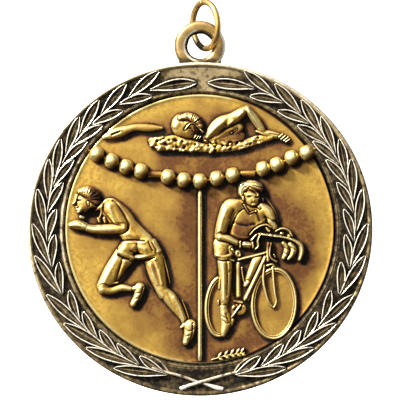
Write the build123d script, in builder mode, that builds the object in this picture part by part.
from build123d import *
from math import cos, radians, sin, sqrt
import os

# Sports finisher medal: a cast wreath frame with a struck insert, hung from a split jump ring.
# Millimetres. +Z is up, the struck front faces -Y, and the origin is the ribbon's seat,
# the inside of the jump ring at its top.

os.makedirs("parts", exist_ok=True)

# Jump ring, standing turned out of the medal's face
wire_radius = 0.5
ring_radius = 4.38  # to the middle of the wire
ring_turn = 58  # degrees out of the face plane
ring_lean = 5  # degrees, top to the left
ring_split = 0.14

# Suspension loop, a cast eye soldered on edge
loop_radius = 3.55  # to the middle of its section
loop_section_width = 2.32
loop_section_depth = 2.1
loop_section_corner = 0.8
loop_right_of_ring = -1.0
loop_below_ring = 3.95
loop_above_centre = 34.45  # over the middle of the frame

# Solder fillets at the loop's foot
braze_radius = 0.62
braze_spread = 3.35
braze_height = 31.55

# Wreath frame, a slightly wide oval
frame_half_width = 32.5
frame_half_height = 31.45
back_y = 1.5
band_y = -1.0
rim_width = 1.0
rim_height = 0.35
edge_round = 0.5
recess_radius = 25.6
recess_floor_y = 0.35
lip_width = 0.5
lip_height = 0.15

# Laurel leaves, as angles of their tips from the top of the medal
outer_tips = (15, 27, 38, 47, 57, 65, 76, 88, 99, 113, 124, 136, 148)
inner_tips = (3, 20, 33, 43, 52, 61, 71, 82, 92, 103, 115, 124.5, 135, 144, 154.5)
outer_tip_inset = 1.25  # from the frame's edge
inner_tip_inset = 5.35
outer_base_inset = 2.9
inner_base_inset = 3.3
outer_sweep = 13.5  # degrees from tip to base
inner_sweep = 9.5
outer_leaf_width = 1.7
inner_leaf_width = 1.45
leaf_height = 0.45
leaf_wall = 0.22
point_draw = 3  # times the wall, at a leaf's two points
leaf_hollow = 0.3
stem_inset = 3.1
stem_width = 0.6
stem_height = 0.3

# Insert and the pad that holds it
insert_radius = 25.4
insert_thickness = 1.0
pad_radius = 24.0
pad_thickness = 0.15

# Struck relief on the insert
figure_height = 1.15
bicycle_height = 0.6
water_height = 0.55
relief_radius = 25.2
bead_count = 15
bead_spacing = 2.83
bead_radius = 1.38
float_bar_places = (3, 10)
rope_low = 9.05
rope_rise = 0.0135
bar_width = 0.68
bar_height = 0.35
bar_top = 7.1
bar_bottom = -25.0

# Limbs and masses of the three figures: (x, z, radius) from end to end, from the insert's middle
swimmer = (
    ((-2.4, 19.6, 2.2), (3.0, 19.2, 2.2)),
    ((-5.6, 18.6, 0.9), (-18.1, 17.9, 0.8)),
    ((2.6, 19.8, 1.9), (9.0, 22.6, 1.2)),
    ((9.0, 22.6, 1.2), (12.2, 17.9, 0.8)),
    ((12.2, 17.9, 0.8), (16.4, 17.1, 0.7)),
)
runner = (
    ((-22.0, 5.5, 2.4), (-17.5, 4.0, 2.0)),
    ((-17.3, 4.1, 2.6), (-11.3, -2.4, 3.0)),
    ((-17.3, 3.6, 1.4), (-13.9, 0.0, 1.2)),
    ((-13.9, 0.0, 1.2), (-23.3, 0.8, 1.0)),
    ((-13.7, -4.5, 2.5), (-18.8, -11.7, 1.5)),
    ((-18.8, -11.7, 1.5), (-12.6, -11.7, 0.9)),
    ((-12.6, -11.5, 1.0), (-11.0, -14.3, 1.2)),
    ((-10.9, -3.8, 3.0), (-8.8, -5.8, 2.3)),
    ((-8.8, -5.8, 2.3), (-6.4, -11.9, 1.5)),
    ((-6.4, -11.9, 1.5), (-2.4, -17.3, 0.9)),
    ((-2.4, -17.8, 1.1), (-1.6, -21.4, 1.2)),
)
cyclist = (
    ((9.4, 6.8, 2.3), (9.0, 4.0, 1.4)),
    ((4.3, 4.3, 1.6), (12.6, 4.1, 1.6)),
    ((8.5, 2.6, 3.4), (6.6, -3.4, 2.8)),
    ((4.3, 4.3, 1.6), (3.2, -1.7, 1.2)),
    ((3.2, -1.7, 1.2), (8.7, -3.2, 0.9)),
    ((12.6, 4.1, 1.6), (14.5, 1.1, 1.1)),
    ((14.5, 1.1, 1.1), (16.4, -1.0, 0.9)),
    ((3.6, -4.0, 2.4), (5.3, -11.5, 1.6)),
    ((5.3, -11.5, 1.6), (5.3, -17.5, 0.9)),
    ((5.3, -17.5, 0.9), (5.0, -19.8, 1.1)),
    ((11.5, -5.5, 1.6), (8.7, -10.5, 1.2)),
)
bicycle = (
    ((10.3, -0.6, 0.5), (18.8, -2.6, 0.5)),
    ((18.8, -2.6, 0.5), (19.2, -5.5, 0.5)),
    ((12.5, -2.0, 0.6), (14.0, -14.2, 0.5)),
    ((12.2, -5.5, 0.5), (8.3, -13.6, 0.5)),
    ((8.0, -6.0, 0.5), (8.1, -13.6, 0.5)),
    ((8.1, -15.2, 1.3), (4.1, -14.7, 0.6)),
)
front_wheel = (14.0, -14.1, 4.45, 6.9)
rear_wheel = (4.1, -14.7, 3.3, 6.0)
tyre_width = 0.75
splash = ((-11.0, 16.2, 1.0), (-4.0, 15.4, 1.5), (3.0, 15.0, 1.3), (10.0, 15.8, 1.2), (14.0, 15.6, 0.8))

# Places worked out from the sizes above
lean_cos = cos(radians(ring_lean))
lean_sin = sin(radians(ring_lean))
turn_cos = cos(radians(ring_turn))
turn_sin = sin(radians(ring_turn))
ring_up = Vector(-lean_sin, 0, lean_cos)
ring_side = Vector(turn_cos * lean_cos, -turn_sin, turn_cos * lean_sin)
ring_centre = ring_up * (wire_radius - ring_radius)
ring_plane = Plane(origin=ring_centre, x_dir=ring_side, z_dir=ring_side.cross(ring_up))
loop_centre = ring_centre + Vector(loop_right_of_ring, 0, -loop_below_ring)
medal_centre = loop_centre - Vector(0, 0, loop_above_centre)
insert_back_y = recess_floor_y - pad_thickness
insert_field_y = insert_back_y - insert_thickness


def front_plane(y):
    """A plane across the medal at depth y, with X to the right, Z up and its normal to the front."""
    return Plane(origin=(medal_centre.X, y, medal_centre.Z), x_dir=(1, 0, 0), z_dir=(0, -1, 0))


def oval_point(angle, inset):
    """The point at this angle from the top, this far inside the frame's edge."""
    across = sin(radians(angle)) / frame_half_width
    up = cos(radians(angle)) / frame_half_height
    reach = 1 / sqrt(across**2 + up**2) - inset
    return (reach * sin(radians(angle)), reach * cos(radians(angle)))


def leaf(base, tip, width):
    """One pointed leaf between two arcs."""
    along = Vector(tip[0] - base[0], tip[1] - base[1])
    middle = Vector((tip[0] + base[0]) / 2, (tip[1] + base[1]) / 2)
    sideways = Vector(-along.Y, along.X).normalized() * (width / 2)
    with BuildLine() as outline:
        ThreePointArc(base, middle + sideways, tip)
        ThreePointArc(tip, middle - sideways, base)
    make_face(outline.edges())


def wreath(side, wall):
    """All the leaves of one branch, each drawn in by the wall and by more at its points."""
    rows = (
        (outer_tips, outer_tip_inset, outer_base_inset, outer_sweep, outer_leaf_width),
        (inner_tips, inner_tip_inset, inner_base_inset, inner_sweep, inner_leaf_width),
    )
    for tips, tip_inset, base_inset, sweep_angle, width in rows:
        for angle in tips:
            tip = oval_point(side * angle, tip_inset)
            base = oval_point(side * (angle + sweep_angle), base_inset)
            shift = Vector(tip[0] - base[0], tip[1] - base[1]).normalized() * (wall * point_draw)
            inner_tip = (tip[0] - shift.X, tip[1] - shift.Y)
            inner_base = (base[0] + shift.X, base[1] + shift.Y)
            leaf(inner_base, inner_tip, width - 2 * wall)


def limb(start, end):
    """A tapered limb with round ends, added to the current sketch."""
    for x, z, radius in (start, end):
        with Locations((x, z)):
            Circle(radius)
    along = Vector(end[0] - start[0], end[1] - start[1]).normalized()
    corners = (
        (start[0] - along.Y * start[2], start[1] + along.X * start[2]),
        (end[0] - along.Y * end[2], end[1] + along.X * end[2]),
        (end[0] + along.Y * end[2], end[1] - along.X * end[2]),
        (start[0] + along.Y * start[2], start[1] - along.X * start[2]),
    )
    Polygon(*corners, align=None)


def wheel(x, z, half_width, half_height):
    """An oval rim, as the turned wheel looks on the struck face."""
    with Locations((x, z)):
        Ellipse(half_width, half_height)
        Ellipse(half_width - tyre_width, half_height - tyre_width, mode=Mode.SUBTRACT)


# Jump ring: round wire bent into a ring, with its two ends butted at the top
with BuildPart(ring_plane) as jump_ring:
    Torus(ring_radius, wire_radius)
    with Locations((0, ring_radius, 0)):
        Box(ring_split, 4 * wire_radius, 4 * wire_radius, mode=Mode.SUBTRACT)

jump_ring.part.label = "jump_ring"
export_step(jump_ring.part, "parts/jump_ring.step")

# Wreath frame: a round-edged oval plate with a raised rim, a recess, leaves and crossed stems
with BuildPart() as medal_frame:
    with BuildSketch(front_plane(back_y)):
        Ellipse(frame_half_width, frame_half_height)
    extrude(amount=back_y - band_y + rim_height)
    fillet(medal_frame.edges().filter_by(GeomType.ELLIPSE), edge_round)
    with BuildSketch(front_plane(band_y - rim_height)):
        Ellipse(frame_half_width - rim_width, frame_half_height - rim_width)
    extrude(amount=-rim_height, mode=Mode.SUBTRACT)
    with BuildSketch(front_plane(band_y)):
        Circle(recess_radius + lip_width)
    extrude(amount=lip_height)
    with BuildSketch(front_plane(band_y)):
        for side in (1, -1):
            wreath(side, 0)
    extrude(amount=leaf_height)
    with BuildSketch(front_plane(band_y)):
        for side in (1, -1):
            stem = [oval_point(side * angle, stem_inset) for angle in (24, 50, 78, 106, 134, 158)]
            with BuildLine():
                Spline(*stem, (side * 5.6, -27.3), (0, -29.1), (side * -4.0, -30.1))
            trace(line_width=stem_width)
    extrude(amount=stem_height)
    with BuildSketch(front_plane(band_y - leaf_height)):
        for side in (1, -1):
            wreath(side, leaf_wall)
    extrude(amount=-leaf_hollow, mode=Mode.SUBTRACT)
    with BuildSketch(front_plane(recess_floor_y)):
        Circle(recess_radius)
    extrude(amount=recess_floor_y - band_y + leaf_height, mode=Mode.SUBTRACT)

medal_frame.part.label = "medal_frame"
export_step(medal_frame.part, "parts/medal_frame.step")

# Suspension loop: an eye with a flat front band, its foot shaped to the frame's edge
with BuildPart() as suspension_loop:
    with BuildSketch(Plane(origin=loop_centre, x_dir=(1, 0, 0), z_dir=(0, 0, 1))):
        with Locations((loop_radius, 0)):
            RectangleRounded(loop_section_width, loop_section_depth, loop_section_corner)
    revolve(axis=Axis(loop_centre, (0, 1, 0)))
    with BuildSketch(front_plane(back_y)):
        Ellipse(frame_half_width, frame_half_height)
    extrude(amount=2 * back_y, mode=Mode.SUBTRACT)

suspension_loop.part.label = "suspension_loop"
export_step(suspension_loop.part, "parts/suspension_loop.step")

# Solder fillets: one at each side of the loop's foot
with BuildPart() as loop_braze:
    for side in (1, -1):
        foot = medal_centre + Vector(side * braze_spread, 0, braze_height)
        with Locations(foot):
            Sphere(braze_radius)
    add(suspension_loop.part, mode=Mode.SUBTRACT)
    with BuildSketch(front_plane(back_y)):
        Ellipse(frame_half_width, frame_half_height)
    extrude(amount=2 * back_y, mode=Mode.SUBTRACT)

loop_braze.part.label = "loop_braze"
export_step(loop_braze.part, "parts/loop_braze.step")

# Adhesive pad between the frame's recess and the insert
with BuildPart() as adhesive_pad:
    with BuildSketch(front_plane(recess_floor_y)):
        Circle(pad_radius)
    extrude(amount=pad_thickness)

adhesive_pad.part.label = "adhesive_pad"
export_step(adhesive_pad.part, "parts/adhesive_pad.step")

# Centre disc: the struck insert, with its swimmer, float rope, runner, cyclist and divider
with BuildPart() as centre_disc:
    with BuildSketch(front_plane(insert_field_y)):
        for low, high in zip(splash, splash[1:]):
            limb(low, high)
    extrude(amount=water_height)
    with BuildSketch(front_plane(insert_field_y)):
        wheel(*front_wheel)
        wheel(*rear_wheel)
        for start, end in bicycle:
            limb(start, end)
    extrude(amount=bicycle_height)
    with BuildSketch(front_plane(insert_field_y)):
        for figure in (swimmer, runner, cyclist):
            for start, end in figure:
                limb(start, end)
    extrude(amount=figure_height)
    with BuildSketch(front_plane(insert_field_y)):
        with Locations((0, (bar_top + bar_bottom) / 2)):
            Rectangle(bar_width, bar_top - bar_bottom)
    extrude(amount=bar_height)
    for place in range(bead_count):
        x = (place - (bead_count - 1) / 2) * bead_spacing
        z = rope_low + rope_rise * x**2
        with Locations((medal_centre.X + x, insert_field_y, medal_centre.Z + z)):
            if place in float_bar_places:
                Box(bead_spacing, bead_radius, bead_radius)
            else:
                Sphere(bead_radius)
    with BuildSketch(front_plane(insert_back_y)):
        Circle(relief_radius)
    extrude(amount=insert_thickness + 2 * bead_radius, mode=Mode.INTERSECT)
    with BuildSketch(front_plane(insert_back_y)):
        Circle(insert_radius)
    extrude(amount=insert_thickness)

centre_disc.part.label = "centre_disc"
export_step(centre_disc.part, "parts/centre_disc.step")
